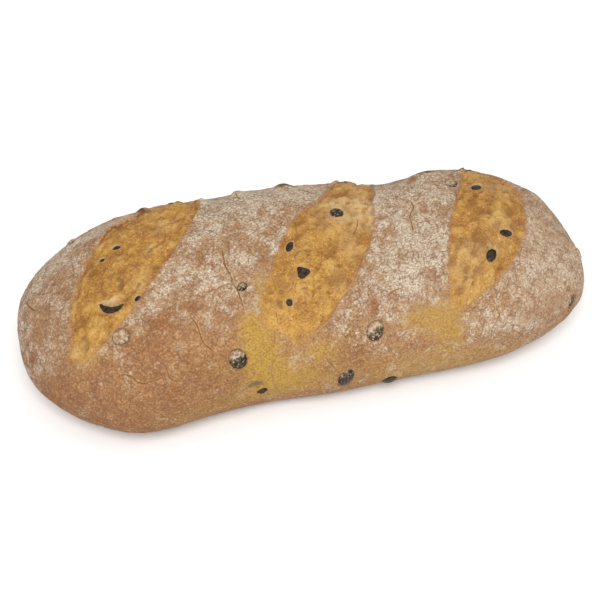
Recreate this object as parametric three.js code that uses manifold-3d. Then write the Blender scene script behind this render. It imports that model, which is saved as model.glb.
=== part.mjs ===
// Olive loaf: a hearth-baked bread, slashed three times across its back, with pieces of
// black olive showing in its crust.
// Millimetres, +Z up. The long axis lies along X and the front faces -Y. The origin is on
// the board that the loaf rests on, under the middle of the loaf's box.

import * as THREE from "three";
import { mergeVertices } from "three/addons/utils/BufferGeometryUtils.js";
import Module from "manifold-3d";

const wasm = await Module();
wasm.setup();

// ---- Driving dimensions of the bread ----

const LENGTH = 304;
const HALF_LENGTH = LENGTH / 2;
const WIDEST_HEIGHT = 27; // height above the board at which the loaf is widest
// depth of the section under its widest line, in widest heights, before the board cuts it
const SETTLE = 1.45;
const SECTION_POWER = 2.2; // 2 is an ellipse, and more is squarer in the shoulders
const END_POWER = { left: 2.75, right: 2.7 }; // bluntness of each end

// Equally spaced from the left end to the right end: the y of the middle of the section,
// its half width and its height, each before the ends are rounded off.
const STATIONS = [
  [-2.2, 61, 74],
  [-3, 71, 78],
  [2.1, 62.5, 78],
  [3.9, 62, 75],
  [2.5, 59.5, 72],
  [5.9, 67, 72],
  [2.1, 67, 70],
];

const ROWS = 48; // steps from end to end
const CRUST_COLUMNS = 40; // steps over the back, from one edge of the sole to the other
const SOLE_COLUMNS = 4; // steps across the sole
const LAST_SOLE_ANGLE = 75; // degrees under the widest line at which the sole starts near the ends

// ---- Driving dimensions of the slashes ----
// A place on the crust is [x, girth]: girth is measured over the crust in millimetres from
// the top of the section, and grows towards the front.

const SLASH_EDGE_DEPTH = 1.8; // the step down from the crust at a slash's edge
const SLASH_MIDDLE_DEPTH = 0.8; // the crumb swells in the middle
const SLASH_CLEARANCE = 5; // how far the cutting solid stands out of the crust
const SLASH_STEPS = 18;
const SLASH_COLUMNS = 5;

// Each edge runs from the back of the loaf to its front.
const SLASHES = [
  {
    left: [[-62, -64], [-80, -46], [-98, -33], [-110, -12], [-120, 9], [-123, 29], [-125, 39]],
    right: [[-51, -59], [-48, -40], [-60, -11], [-75, 8], [-88, 22], [-102, 34], [-119, 42]],
  },
  {
    left: [[35, -61], [21, -36], [5, -15], [-9, 1], [-20, 22], [-27, 38], [-24, 55]],
    right: [[47, -56], [45, -34], [39, -10], [33, 8], [21, 31], [5, 50], [-12, 61]],
  },
  {
    left: [[102, -50], [94, -30], [84, -9], [76, 10], [71, 28], [68, 42], [68, 51]],
    right: [[113, -50], [121, -30], [122, -8], [115, 14], [104, 31], [88, 45], [74, 53]],
  },
];

// ---- Driving dimensions of the olive pieces ----

const POCKET_GAP = 0.3; // between an olive piece and the bread around it
const POCKET_REACH = 3; // how far the pocket of a flat piece reaches out past the piece

// at: place on the crust. size: length, width, thickness. turn: degrees from the loaf's
// long axis, anticlockwise seen from outside. sunk: depth of the piece's middle below the
// crust. A lump is a rounded piece, a half_slice has the hollow of the stone in its straight
// side, and a wedge has three corners.
const OLIVES = {
  left_slash_half_slice: { shape: "half_slice", at: [-102, 21], size: [13, 5.6, 4], turn: -15, sunk: 2.6 },
  left_slash_chip: { shape: "lump", at: [-88.3, 20.5], size: [5.6, 3.8, 3.2], turn: 30, sunk: 2.2 },
  left_slash_top_piece: { shape: "lump", at: [-95, -16.5], size: [6.4, 4.8, 3.8], turn: -20, sunk: 2.3 },
  left_slash_fleck: { shape: "lump", at: [-103, -11], size: [4.8, 4, 3.2], turn: 0, sunk: 2.2 },
  left_floured_lump: { shape: "lump", at: [-99, 37.3], size: [10, 9, 5], turn: 10, sunk: 1.4 },
  crack_piece: { shape: "lump", at: [-36.4, 29], size: [6, 4.4, 4], turn: 20, sunk: 1.0 },
  front_round_piece: { shape: "lump", at: [-43.9, 64.8], size: [10, 12, 6], turn: 15, sunk: 1.6 },
  front_low_slit: { shape: "lump", at: [-33, 88.4], size: [6, 4, 4], turn: 10, sunk: 1.2 },
  middle_slash_top_piece: { shape: "lump", at: [20, -12], size: [9.4, 10.4, 4.4], turn: 0, sunk: 2.4 },
  middle_slash_sliver: { shape: "lump", at: [-8.7, 9.2], size: [9.4, 4.8, 3.6], turn: 62, sunk: 2.3 },
  middle_slash_wedge: { shape: "wedge", at: [-5, 25.6], size: [7.4, 7.8, 4], turn: 155, sunk: 2.6 },
  middle_slash_chip: { shape: "lump", at: [-14.5, 40.6], size: [5, 5.4, 3.6], turn: 0, sunk: 2.3 },
  front_large_piece: { shape: "lump", at: [26.6, 59], size: [9.5, 11.5, 6], turn: -15, sunk: 1.7 },
  front_dark_piece: { shape: "lump", at: [10.4, 87.5], size: [8.8, 14, 5], turn: -15, sunk: 1.4 },
  edge_dark_piece: { shape: "lump", at: [34.6, 96.5], size: [8.8, 10, 5], turn: 10, sunk: 1.3 },
  right_slash_slit: { shape: "lump", at: [100, -22.4], size: [9.6, 6.4, 3.8], turn: 40, sunk: 2.3 },
  right_slash_piece: { shape: "lump", at: [105.8, 13.3], size: [9.6, 6.6, 3.9], turn: 0, sunk: 2.3 },
  right_slash_low_piece: { shape: "lump", at: [94, 27], size: [11, 7, 4.2], turn: 50, sunk: 2.4 },
  left_rim_piece: { shape: "lump", at: [-116.5, -39], size: [6, 5, 4], turn: 0, sunk: 1.2 },
  right_rim_lump: { shape: "lump", at: [86.6, -27], size: [7.4, 10, 4.8], turn: -15, sunk: 1.5 },
  right_end_piece: { shape: "lump", at: [136.6, 47.5], size: [6.2, 9.4, 4.6], turn: -20, sunk: 1.7 },
  back_left_lump: { shape: "lump", at: [-96, -72], size: [10, 8, 5], turn: 30, sunk: 1.5 },
  back_left_low_piece: { shape: "lump", at: [-58, -94], size: [8, 6, 5], turn: -20, sunk: 1.4 },
  back_middle_half_slice: { shape: "half_slice", at: [-14, -76], size: [12, 5.6, 4], turn: -15, sunk: 1.2 },
  back_middle_low_lump: { shape: "lump", at: [18, -88], size: [9.5, 8, 5], turn: 0, sunk: 1.5 },
  back_right_wedge: { shape: "wedge", at: [66, -70], size: [8, 7, 4], turn: 35, sunk: 1.3 },
  back_right_low_lump: { shape: "lump", at: [98, -78], size: [8.5, 6.5, 5], turn: 60, sunk: 1.4 },
};

const LUMP_SEGMENTS = [9, 6]; // around and from pole to pole
const ARC_STEPS = 9; // along the round edge of a half slice
const HOLLOW_STEPS = 6; // along the hollow that the stone left in a half slice
const HOLLOW_SPAN = 0.86; // of the slice's length
const HOLLOW_DEPTH = 0.3; // of the slice's width
const CORNER_STEPS = 3; // round each corner of a wedge
const CORNER_RADIUS = 0.22; // of the wedge's width

// ---- Accuracy ----

const SECTION_SAMPLES = 360; // of a section, to share its length out evenly
const GIRTH_STEP = 0.002; // radians walked at a time to reach a girth
const SLOPE_STEP = 0.01; // radians to each side of a place, for the direction over the crust
const WELD_DISTANCE = 1e-4; // millimetres within which corners are the same corner

// ---- Materials ----

const crust = new THREE.MeshStandardMaterial({ color: 0xb98d5e, roughness: 0.85, metalness: 0 });
const olive = new THREE.MeshStandardMaterial({ color: 0x2e2822, roughness: 0.45, metalness: 0 });

// ---- The bread's skin ----

const stationCurve = new THREE.CatmullRomCurve3(
  STATIONS.map(([middle, halfWidth, height]) => new THREE.Vector3(middle, halfWidth, height)),
  false,
  "catmullrom",
);

const signedPower = (value, power) => Math.sign(value) * Math.abs(value) ** power;

// The section at x, as a function of the angle in radians: 0 is the widest point at the
// back, a quarter turn is the top and half a turn is the widest point at the front.
function sectionAt(x) {
  const along = THREE.MathUtils.clamp(x / HALF_LENGTH, -1, 1);
  const power = along < 0 ? END_POWER.left : END_POWER.right;
  const taper = (1 - Math.abs(along) ** power) ** (1 / power);
  const { x: middle, y: halfWidth, z: height } = stationCurve.getPoint((along + 1) / 2);
  const upper = (height - WIDEST_HEIGHT) * taper;
  const lower = WIDEST_HEIGHT * SETTLE * taper;
  return {
    soleAngle: Math.min(
      THREE.MathUtils.degToRad(LAST_SOLE_ANGLE),
      Math.asin(Math.min(1, WIDEST_HEIGHT / lower) ** (SECTION_POWER / 2)),
    ),
    point(angle) {
      const across = signedPower(Math.cos(angle), 2 / SECTION_POWER);
      const up = signedPower(Math.sin(angle), 2 / SECTION_POWER);
      const z = WIDEST_HEIGHT + up * (up > 0 ? upper : lower);
      return new THREE.Vector3(x, middle + halfWidth * taper * across, Math.max(0, z));
    },
  };
}

// Angles at equal distances over the crust, from the back edge of the sole to the front one.
function evenCrustAngles(section, steps) {
  const first = -section.soleAngle;
  const last = Math.PI + section.soleAngle;
  const angles = [first];
  const distances = [0];
  let previous = section.point(first);
  for (let i = 1; i <= SECTION_SAMPLES; i += 1) {
    const angle = THREE.MathUtils.lerp(first, last, i / SECTION_SAMPLES);
    const point = section.point(angle);
    angles.push(angle);
    distances.push(distances.at(-1) + point.distanceTo(previous));
    previous = point;
  }
  const even = [];
  let at = 0;
  for (let i = 0; i <= steps; i += 1) {
    const wanted = (distances.at(-1) * i) / steps;
    while (at < SECTION_SAMPLES - 1 && distances[at + 1] < wanted) at += 1;
    const part = (wanted - distances[at]) / (distances[at + 1] - distances[at]);
    even.push(THREE.MathUtils.lerp(angles[at], angles[at + 1], THREE.MathUtils.clamp(part, 0, 1)));
  }
  return even;
}

// A place on the crust with the directions there: along the loaf, up over the crust
// towards the back, and out.
function crustFrame(x, girth) {
  const section = sectionAt(x);
  const step = GIRTH_STEP * Math.sign(girth);
  let angle = Math.PI / 2;
  let walked = 0;
  let previous = section.point(angle);
  while (walked < Math.abs(girth)) {
    angle += step;
    const point = section.point(angle);
    walked += point.distanceTo(previous);
    previous = point;
  }
  const alongLoaf = sectionAt(x + 1).point(angle).sub(sectionAt(x - 1).point(angle));
  const towardsBack = section.point(angle - SLOPE_STEP).sub(section.point(angle + SLOPE_STEP));
  const out = new THREE.Vector3().crossVectors(alongLoaf, towardsBack).normalize();
  alongLoaf.addScaledVector(out, -alongLoaf.dot(out)).normalize();
  const over = new THREE.Vector3().crossVectors(out, alongLoaf);
  return { point: previous, alongLoaf, over, out };
}

// ---- Closed meshes ----

function geometryFrom(points, triangles) {
  const geometry = new THREE.BufferGeometry().setFromPoints(points);
  geometry.setIndex(triangles);
  return geometry;
}

// Rings of the same number of points, joined and closed by a fan to a point at each end.
// Seen from the last point, each ring runs anticlockwise.
function closeRings(firstPoint, rings, lastPoint) {
  const count = rings[0].length;
  const points = [firstPoint, ...rings.flat(), lastPoint];
  const triangles = [];
  for (let j = 0; j < count; j += 1) {
    const next = (j + 1) % count;
    triangles.push(0, 1 + next, 1 + j);
    for (let i = 0; i < rings.length - 1; i += 1) {
      const here = 1 + i * count;
      const beyond = here + count;
      triangles.push(here + j, beyond + next, beyond + j);
      triangles.push(here + j, here + next, beyond + next);
    }
    const final = 1 + (rings.length - 1) * count;
    triangles.push(final + j, final + next, points.length - 1);
  }
  return geometryFrom(points, triangles);
}

function breadGeometry() {
  const rings = [];
  for (let i = 1; i < ROWS; i += 1) {
    const x = -HALF_LENGTH * Math.cos((Math.PI * i) / ROWS);
    const section = sectionAt(x);
    const angles = evenCrustAngles(section, CRUST_COLUMNS);
    const frontEdge = angles.at(-1);
    const backEdge = 2 * Math.PI + angles[0];
    for (let j = 1; j < SOLE_COLUMNS; j += 1) {
      angles.push(THREE.MathUtils.lerp(frontEdge, backEdge, j / SOLE_COLUMNS));
    }
    rings.push(angles.map((angle) => section.point(angle)));
  }
  const tip = (x) => sectionAt(x).point(0);
  return closeRings(tip(-HALF_LENGTH), rings, tip(HALF_LENGTH));
}

// The solid that a slash takes away: a slab that follows the crust, from above it down to
// the opened crumb.
function slashGeometry({ left, right }) {
  const curveThrough = (places) =>
    new THREE.SplineCurve(places.map(([x, girth]) => new THREE.Vector2(x, girth)));
  const leftEdge = curveThrough(left);
  const rightEdge = curveThrough(right);
  const rings = [];
  for (let i = 0; i <= SLASH_STEPS; i += 1) {
    const from = leftEdge.getPoint(i / SLASH_STEPS);
    const to = rightEdge.getPoint(i / SLASH_STEPS);
    const floor = [];
    const roof = [];
    for (let j = 0; j <= SLASH_COLUMNS; j += 1) {
      const across = j / SLASH_COLUMNS;
      const place = from.clone().lerp(to, across);
      const { point, out } = crustFrame(place.x, place.y);
      const swell = Math.sin(Math.PI * across);
      const depth = THREE.MathUtils.lerp(SLASH_EDGE_DEPTH, SLASH_MIDDLE_DEPTH, swell);
      floor.push(point.clone().addScaledVector(out, -depth));
      roof.unshift(point.clone().addScaledVector(out, SLASH_CLEARANCE));
    }
    rings.push([...floor, ...roof]);
  }
  const middleOf = (ring) =>
    ring.reduce((sum, point) => sum.add(point), new THREE.Vector3()).divideScalar(ring.length);
  return closeRings(middleOf(rings[0]), rings, middleOf(rings.at(-1)));
}

// The radius of the arc that rises by the given height over half of the given span.
const arcRadius = (span, height) => (span ** 2 / 4 + height ** 2) / (2 * height);

// Outline of half a slice of a stoned olive: round below, and hollow along its top.
function halfSliceOutline(length, width) {
  const radius = arcRadius(length, width);
  const reach = Math.acos((radius - width) / radius);
  const outline = [];
  for (let i = 0; i <= ARC_STEPS; i += 1) {
    const angle = THREE.MathUtils.lerp(-reach, reach, i / ARC_STEPS);
    outline.push(new THREE.Vector2(radius * Math.sin(angle), radius * (1 - Math.cos(angle)) - width / 2));
  }
  const hollowDepth = HOLLOW_DEPTH * width;
  const hollowRadius = arcRadius(HOLLOW_SPAN * length, hollowDepth);
  const hollowReach = Math.acos((hollowRadius - hollowDepth) / hollowRadius);
  for (let i = 0; i <= HOLLOW_STEPS; i += 1) {
    const angle = THREE.MathUtils.lerp(hollowReach, -hollowReach, i / HOLLOW_STEPS);
    const rise = hollowRadius * (1 - Math.cos(angle)) - hollowDepth;
    outline.push(new THREE.Vector2(hollowRadius * Math.sin(angle), width / 2 + rise));
  }
  return outline;
}

// Outline of a wedge: a triangle with round corners.
function wedgeOutline(length, width) {
  const cornerRadius = CORNER_RADIUS * width;
  const outline = [];
  for (let corner = 0; corner < 3; corner += 1) {
    const direction = Math.PI / 2 + (corner * 2 * Math.PI) / 3;
    const reach = 0.5 - cornerRadius / width;
    for (let i = 0; i <= CORNER_STEPS; i += 1) {
      const angle = direction + THREE.MathUtils.lerp(-1, 1, i / CORNER_STEPS);
      const x = length * reach * Math.cos(direction) + cornerRadius * Math.cos(angle);
      const y = width * reach * Math.sin(direction) + cornerRadius * Math.sin(angle);
      outline.push(new THREE.Vector2(x, y));
    }
  }
  return outline;
}

// An olive piece in its own frame: the length along X and the thickness along Z. With a gap
// and a reach it is the pocket that the piece sits in.
function olivePieceGeometry({ shape, size }, gap = 0, reach = 0) {
  const [length, width, thickness] = size.map((side) => side + 2 * gap);
  if (shape === "lump") {
    const ball = new THREE.SphereGeometry(0.5, ...LUMP_SEGMENTS);
    return ball.rotateX(Math.PI / 2).scale(length, width, thickness);
  }
  const outline = shape === "wedge" ? wedgeOutline(length, width) : halfSliceOutline(length, width);
  const slice = new THREE.ExtrudeGeometry(new THREE.Shape(outline), {
    depth: thickness + reach,
    bevelEnabled: false,
    steps: 1,
  });
  return slice.translate(0, 0, -thickness / 2);
}

function crustPlacement({ at, turn, sunk }) {
  const { point, alongLoaf, over, out } = crustFrame(...at);
  const place = new THREE.Matrix4().makeBasis(alongLoaf, over, out);
  place.setPosition(point.addScaledVector(out, -sunk));
  return place.multiply(new THREE.Matrix4().makeRotationZ(THREE.MathUtils.degToRad(turn)));
}

// ---- Cutting ----

function toManifold(geometry) {
  const bare = geometry.clone();
  bare.deleteAttribute("normal");
  bare.deleteAttribute("uv");
  const merged = mergeVertices(bare, WELD_DISTANCE);
  return new wasm.Manifold(
    new wasm.Mesh({
      numProp: 3,
      vertProperties: new Float32Array(merged.attributes.position.array),
      triVerts: new Uint32Array(merged.index.array),
    }),
  );
}

function fromManifold(solid) {
  const { numProp, vertProperties, triVerts } = solid.getMesh();
  const geometry = new THREE.BufferGeometry();
  const interleaved = new THREE.InterleavedBuffer(vertProperties, numProp);
  geometry.setAttribute("position", new THREE.InterleavedBufferAttribute(interleaved, 3, 0));
  geometry.setIndex(new THREE.BufferAttribute(triVerts, 1));
  return geometry;
}

// ---- Assembly ----

function slashedBread() {
  let bread = toManifold(breadGeometry());
  for (const slash of SLASHES) {
    bread = bread.subtract(toManifold(slashGeometry(slash)));
  }
  for (const piece of Object.values(OLIVES)) {
    const pocket = olivePieceGeometry(piece, POCKET_GAP, POCKET_REACH);
    pocket.applyMatrix4(crustPlacement(piece));
    bread = bread.subtract(toManifold(pocket));
  }
  return fromManifold(bread);
}

const loaf = new THREE.Mesh(slashedBread(), crust);
loaf.name = "loaf";

const part = new THREE.Group();
part.add(loaf);

for (const [name, piece] of Object.entries(OLIVES)) {
  const mesh = new THREE.Mesh(olivePieceGeometry(piece), olive);
  mesh.name = `olive_${name}`;
  mesh.applyMatrix4(crustPlacement(piece));
  part.add(mesh);
}

export default part;
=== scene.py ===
"""An olive loaf: the finish of a slashed, flour-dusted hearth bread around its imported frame.

Shapes are worked out in millimetres and handed to Blender in metres. A place on the crust
is (x, girth): x runs along the loaf, and girth is measured over the crust from the top of
the section and grows towards the front.
"""

import math

import bmesh
import bpy
import numpy as np
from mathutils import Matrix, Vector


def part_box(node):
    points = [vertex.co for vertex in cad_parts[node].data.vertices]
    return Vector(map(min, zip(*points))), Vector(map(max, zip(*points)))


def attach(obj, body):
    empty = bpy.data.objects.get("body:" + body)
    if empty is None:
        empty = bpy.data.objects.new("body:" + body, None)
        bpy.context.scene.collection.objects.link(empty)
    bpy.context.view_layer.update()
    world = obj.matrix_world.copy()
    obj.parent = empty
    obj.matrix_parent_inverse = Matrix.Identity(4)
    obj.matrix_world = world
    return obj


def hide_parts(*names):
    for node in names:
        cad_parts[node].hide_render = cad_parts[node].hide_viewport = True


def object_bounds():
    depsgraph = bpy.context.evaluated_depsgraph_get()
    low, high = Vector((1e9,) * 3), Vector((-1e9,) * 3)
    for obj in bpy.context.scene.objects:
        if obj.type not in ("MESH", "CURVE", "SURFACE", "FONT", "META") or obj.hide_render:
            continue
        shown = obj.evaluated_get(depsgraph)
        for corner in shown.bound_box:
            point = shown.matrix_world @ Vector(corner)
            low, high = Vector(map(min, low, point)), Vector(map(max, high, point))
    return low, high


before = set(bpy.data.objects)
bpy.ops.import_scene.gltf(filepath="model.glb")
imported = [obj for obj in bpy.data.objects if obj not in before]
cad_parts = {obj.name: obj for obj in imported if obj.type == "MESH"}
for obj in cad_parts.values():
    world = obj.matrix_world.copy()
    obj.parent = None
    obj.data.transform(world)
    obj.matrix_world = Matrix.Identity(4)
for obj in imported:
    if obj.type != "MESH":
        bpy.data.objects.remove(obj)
cad_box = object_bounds()

MM = 0.001

# ---- The bread's form, as the frame has it ----

HALF_LENGTH = cad_box[1][0] / MM
WIDEST_HEIGHT = 27.0
# How far a section would reach below its widest point without the board, in heights of it.
SETTLE = 1.45
SECTION_POWER = 2.2
END_POWER = (2.75, 2.7)
NEAR_TIP = 0.9995  # the part of the half length up to which a section has some size
# Middle of the section, half width and height, equally spaced from the left end to the right.
STATIONS = np.array([
    [-2.2, 61.0, 74.0],
    [-3.0, 71.0, 78.0],
    [2.1, 62.5, 78.0],
    [3.9, 62.0, 75.0],
    [2.5, 59.5, 72.0],
    [5.9, 67.0, 72.0],
    [2.1, 67.0, 70.0],
])
CRUST_SPACING = 0.65
PRESS_ROUNDS = 4
SLOPE_STEP = 0.02
# Rows along the loaf and angles round it at which the girth is worked out.
GIRTH_ROWS = 401
GIRTH_ANGLES = 721

SLASH_ANGLE = 58  # how far the slashes lie round from the loaf's length, in degrees
SLASH_REACH = 14.0
SLASH_STEPS = 25
SLASH_BLUR = 0.8
# Each slash is a left and a right edge, from the back of the loaf to its front.
SLASHES = (
    (
        [(-62, -64), (-75, -49), (-88, -41), (-98, -33), (-105, -23), (-110, -12), (-116, -1),
         (-120, 9), (-122, 20), (-123, 29), (-125, 39)],
        [(-51, -59), (-48, -42), (-53, -24), (-60, -11), (-67, -1), (-75, 8), (-81, 15), (-88, 22),
         (-95, 29), (-102, 34), (-109, 38), (-119, 42)],
    ),
    (
        [(35, -61), (25, -44), (17, -29), (10, -20), (1, -12), (-6, -4), (-11, 5), (-17, 16),
         (-22, 26), (-27, 37), (-28, 50)],
        [(47, -56), (45, -37), (40, -18), (38, -6), (35, 3), (31, 13), (25, 23), (17, 37),
         (10, 43), (5, 50), (-5, 57), (-13, 62)],
    ),
    (
        [(102, -50), (96, -35), (89, -19), (83, -7), (77, 6), (74, 17), (70, 30), (68, 41), (68, 50)],
        [(113, -50), (120, -34), (123, -20), (122, -8), (117, 10), (111, 21), (104, 31), (95, 40),
         (88, 45), (81, 49), (73, 53)],
    ),
)

CRACK_REACH = 4.0
# Cracks and creases: how dark their line is painted, with their own brown and painted shade, how
# deep, then the places they run through.
CRACKS = (
    (1.0, 0.7, [(-45, 3), (-43, 8), (-43, 16), (-41, 22), (-41, 26), (-39, 31), (-38, 38),
                (-38, 43)]),
    (0.7, 0.4, [(-41, 26), (-47, 27), (-52, 28), (-56, 28)]),
    (0.9, 0.6, [(-65, 37), (-62, 42), (-61, 46), (-60, 52), (-57, 56), (-54, 60)]),
    (0.8, 0.5, [(-104, 56), (-100, 56), (-96, 59), (-93, 63), (-88, 64), (-83, 64)]),
    (0.7, 0.5, [(-79, 58), (-79, 63), (-77, 67), (-72, 69)]),
    (0.5, 0.3, [(-110, 55), (-106, 58)]),
    (0.6, 0.3, [(-75, 76), (-73, 77)]),
    (0.9, 0.7, [(-145, -9), (-142, 0), (-139, 3)]),
    (0.7, 0.5, [(-125, -2), (-122, -1), (-119, 2)]),
    (0.9, 0.6, [(59, -20), (61, -12), (57, -4), (57, 0), (56, 9)]),
    (0.6, 0.4, [(61, -12), (65, -13)]),
    (0.7, 0.4, [(-34, -10), (-32, -5)]),
    (0.5, 0.3, [(-38, 7), (-29, 3), (-24, 0)]),
    (0.7, 0.4, [(35, 42), (39, 39), (43, 38)]),
    (0.8, 0.4, [(0, 71), (2, 75), (5, 80)]),
    (0.6, 0.3, [(13, 75), (18, 73), (24, 70)]),
    (1.0, 0.9, [(-29, -42), (-28, -38), (-27, -34)]),
    (1.0, 0.9, [(75, -30), (78, -26), (79, -23)]),
    (0.6, 0.9, [(-51, -27), (-56, -26), (-60, -25), (-66, -22), (-70, -21)]),
    (0.5, 0.9, [(-69, -20), (-70, -12), (-73, -9), (-77, -7), (-84, -3)]),
    # The next five lines run along the torn flaps at the crown: painted shade under the flaps' edges.
    (1.0, 0.8, [(-8, -44), (-2, -45), (4, -44)]),
    (1.0, 0.8, [(64, -41), (72, -42), (80, -41)]),
    (1.0, 0.8, [(96, -39), (102, -40), (108, -38)]),
    (1.0, 0.8, [(-84, -44), (-79, -45), (-74, -44)]),
    (1.0, 0.8, [(-68, -47), (-62, -47), (-57, -48)]),
    (0.8, 0.6, [(-8, 18), (-6, 14), (-2, 13), (2, 14)]),
    (0.6, 0.4, [(-10, 29), (-12, 33), (-15, 36)]),
    (0.6, 0.3, [(-22, 44), (-22, 50)]),
    (0.5, 0.3, [(-24, 53), (-25, 61)]),
    (0.8, 0.6, [(30, -6), (28, 0), (25, 5)]),
    (0.6, 0.5, [(92, 10), (94, 15), (96, 20), (96, 25)]),
    (0.5, 0.3, [(91, 29), (87, 32)]),
    (0.3, 0.2, [(-37, 62), (-32, 60), (-27, 60)]),
    (0.3, 0.2, [(-28, 74), (-27, 84), (-24, 94)]),
    (0.8, 0.5, [(-76, -47), (-88, -40), (-96, -35), (-101, -29), (-105, -23)]),
    (0.5, 0.4, [(-105, -23), (-110, -12), (-114, -5), (-118, 2)]),
    (0.35, 0.4, [(31, -53), (25, -44), (18, -30), (10, -20), (2, -13)]),
    (0.35, 0.3, [(31, 13), (25, 23), (17, 37), (10, 43), (5, 50), (-5, 57)]),
    (1.0, 0.8, [(-40, -70), (-34, -78), (-36, -88), (-31, -95)]),
    (0.8, 0.5, [(66, -84), (75, -88), (80, -97)]),
    (0.8, 0.5, [(-112, -62), (-104, -70), (-98, -84)]),
    (0.7, 0.4, [(8, -72), (14, -80)]),
)

# The tables of patches below hold (x, girth, reach along x, reach over the girth, amount).

# More flour, or less where the amount is negative.
FLOUR_PATCHES = (
    (-46, -24, 20, 18, 0.2), (-20, -36, 40, 14, 0.7), (58, -30, 20, 10, 0.15),
    (-50, -14, 8, 8, 0.15), (-47, 13, 7, 6, 0.1), (-68, 37, 4, 3, 0.4), (-47, 38, 4, 5, 0.35),
    (-71, 50, 4, 3, 0.3), (-119, -18, 5, 5, 0.45), (-96, -44, 16, 7, 0.35), (52, -2, 24, 36, 0.22),
    (60, 8, 10, 14, 0.2), (52, 28, 18, 10, 0.12), (105, 36, 10, 7, 0.22), (106, 50, 9, 8, 0.25),
    (120, 50, 16, 18, 0.15), (132, 36, 18, 24, 0.2), (-138, -22, 12, 20, 0.2),
    (10, 58, 10, 7, 0.15), (-14, 72, 8, 6, 0.15), (106, 66, 20, 9, 0.3), (-20, -70, 60, 18, 0.15),
    (70, -66, 46, 16, 0.15), (20, 46, 14, 14, 0.28), (44, 42, 14, 12, 0.3), (84, 62, 14, 10, 0.35),
    (108, 64, 18, 12, 0.25), (126, 46, 14, 16, 0.08), (-120, -36, 22, 8, 0.45),
    (-134, -10, 10, 22, 0.12), (-122, 60, 30, 30, 0.12), (-100, -10, 40, 60, -0.12),
    (-134, 34, 18, 34, -0.25), (-48, 4, 18, 22, -0.07),
)
# Fine flour that lies as an even haze, with few clumps.
HAZE_PATCHES = (
    (126, 14, 22, 40, 0.8), (112, 60, 24, 14, 0.8), (-134, -14, 14, 30, 0.3),
    (-130, 48, 22, 28, 0.9), (-112, -40, 26, 10, 0.6), (-60, 58, 30, 16, 0.3),
)
# Where the slashes run out into the crust softly. The amount is in millimetres.
SOFT_EDGES = (
    (-117, 8, 8, 26, 2.2), (-119, 41, 9, 8, 3.5), (-106, 36, 10, 6, 1.5), (-27, 42, 5, 14, 2),
    (-60, -12, 10, 18, 0.9), (-84, 20, 10, 10, 0.9), (38, -8, 6, 16, 0.7), (24, 26, 9, 12, 0.6),
    (-14, 62, 14, 7, 3), (72, 52, 10, 8, 3), (121, -8, 6, 22, 1.2), (86, 44, 8, 6, 1.2),
)
# Rubbed or well baked crust that shows through the flour.
BARE_PATCHES = (
    (-54, 11, 2.5, 4, 0.8), (-50, 13, 2.5, 3, 0.6), (-17, -14, 7, 2.5, 0.7),
    (-39, -27, 2.5, 4, 0.7), (-25, -23, 2, 5, 0.5), (-37, 34, 3, 3, 0.9), (-46, 40, 6, 3, 0.5),
    (-62, 33, 6, 4, 0.7), (-21, 20, 5, 12, 0.7), (-26, 36, 6, 8, 0.5), (-77, 36, 8, 4, 0.6),
    (-88, 46, 14, 8, 0.6), (28, 46, 2.2, 5, 0.9), (55, -6, 4, 3, 0.6), (64, -37, 9, 5, 0.7),
    (63, 20, 2.5, 2.5, 0.7), (-108, -24, 5, 12, 0.6), (-126, -6, 8, 10, 0.3), (12, 66, 8, 6, 0.4),
    (-90, -88, 14, 8, 0.5), (30, -80, 16, 7, 0.5), (116, -60, 10, 8, 0.5), (141, 42, 8, 18, 0.45),
    (112, 60, 16, 8, 0.45), (12, 76, 9, 9, 0.4), (-84, 84, 60, 30, 0.55),
)
# Stretched skin that baked golden.
GOLD_PATCHES = (
    (-26, 32, 5, 12, 0.6), (-32, 62, 12, 16, 0.9), (-22, 84, 20, 14, 0.8), (-36, 47, 6, 8, 0.5),
    (66, 60, 8, 12, 0.8), (-2, 66, 12, 8, 0.5), (-116, 42, 9, 7, 0.6), (60, 86, 50, 18, 0.55),
    (-60, 94, 40, 12, 0.4), (10, 84, 30, 16, 0.1), (46, 54, 14, 8, 0.5), (-10, 36, 22, 14, 0.35),
    (76, 34, 9, 12, 0.35), (-112, 24, 9, 10, 0.3), (56, 52, 12, 9, 0.4), (-58, 66, 14, 8, 0.3),
)
# Brown stains. Where the amount is above one, dark flap edges: partly burnt crust, partly painted
# shade.
STAINS = (
    (-77, 6, 2, 2.2, 0.9), (-87, 14, 2, 1.6, 0.8), (-116, 32, 2.2, 2.2, 0.8),
    (-20, 41, 2.2, 3, 0.75), (-95, 9, 1.8, 4.5, 0.8), (-101, 5, 6, 6, 0.35), (-84, -22, 10, 8, 0.3),
    (-4, 5, 2, 1.6, 0.7), (5, 3, 1, 1, 0.8), (13, 16, 1, 1, 0.8), (-6, 35, 1.8, 1, 0.9),
    (-13, 20, 2, 2, 0.4), (31, -33, 3, 2, 0.5), (24, -28, 2, 1.6, 0.5), (103, -43, 3, 1.6, 0.9),
    (97, -27, 2.6, 1.4, 0.8), (104, -10, 6, 3, 0.35), (94, -11, 3, 1.6, 0.7),
    (100, 0, 2.5, 1.5, 0.7), (84, 3, 1, 1.5, 0.6), (81, 16, 2, 2, 0.6), (113, 6, 3, 2, 0.5),
    (97, 35, 2.4, 2.4, 0.7), (87, 42, 3, 1.6, 0.5), (74, 43, 2.5, 1.4, 0.6), (105, 72, 2, 2, 0.8),
    (-145, 26, 2, 6, 0.8), (-79, -46, 3.5, 1.8, 2.4), (-61, -45, 4, 1.8, 2.4),
    (-49, -43, 3, 1.8, 2.4), (-28, -45, 2.5, 1.8, 2.4), (-2, -46, 4.5, 1.8, 2.4),
    (33, -47, 5, 1.8, 2), (77, -44, 7, 1.8, 2.4), (100, -42, 6, 1.8, 2.4),
)
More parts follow.
